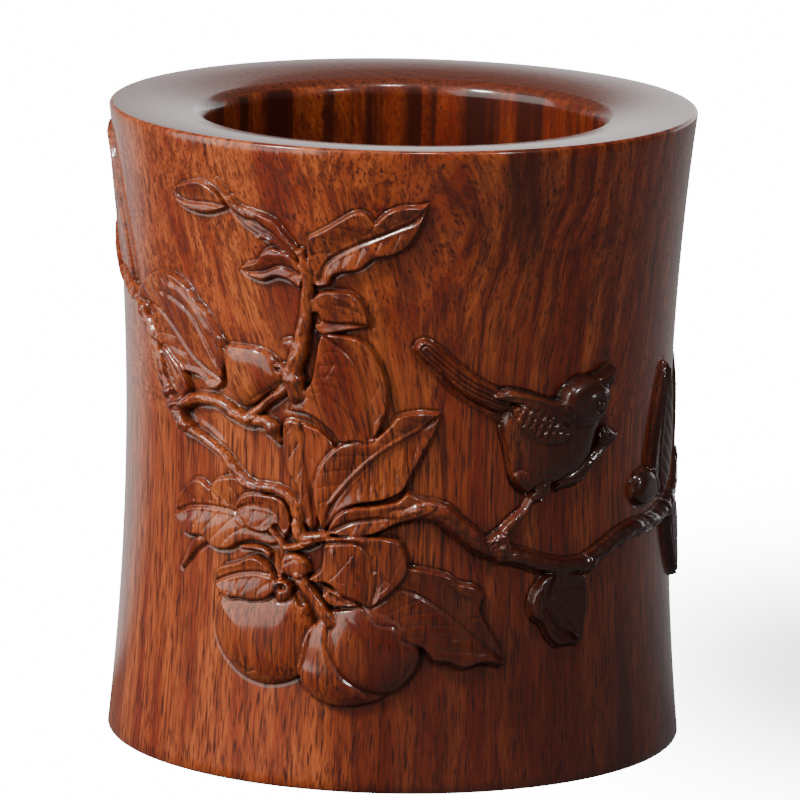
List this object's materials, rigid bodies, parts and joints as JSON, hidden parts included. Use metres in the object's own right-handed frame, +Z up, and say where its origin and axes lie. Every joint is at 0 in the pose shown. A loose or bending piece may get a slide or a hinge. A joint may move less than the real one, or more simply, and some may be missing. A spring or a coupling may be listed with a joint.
{
  "type": "carved wooden brush pot",
  "caption": "Waisted round wooden brush pot with a thick dished rim, a bored well, a let-in floor, and a carved relief of birds, fruit and leafy branches.",
  "frame": {"origin": "centre of the foot, on the plane that the pot stands on", "axes": "+Z up along the bore; the front, with the middle of the carving, faces -Y"},
  "size_m": [0.1304, 0.1299, 0.141],
  "materials": {
    "rosewood": "polished dark rosewood, glossy, upright grain, dark in the carved lines",
    "board_wood": "rosewood board with its grain lying flat, satin",
    "plug_wood": "darker rosewood, end grain, satin"
  },
  "bodies": {
    "root": {"carved_wall": "rosewood", "floor_board": "board_wood", "centre_plug": "plug_wood"}
  },
  "joints": []
}
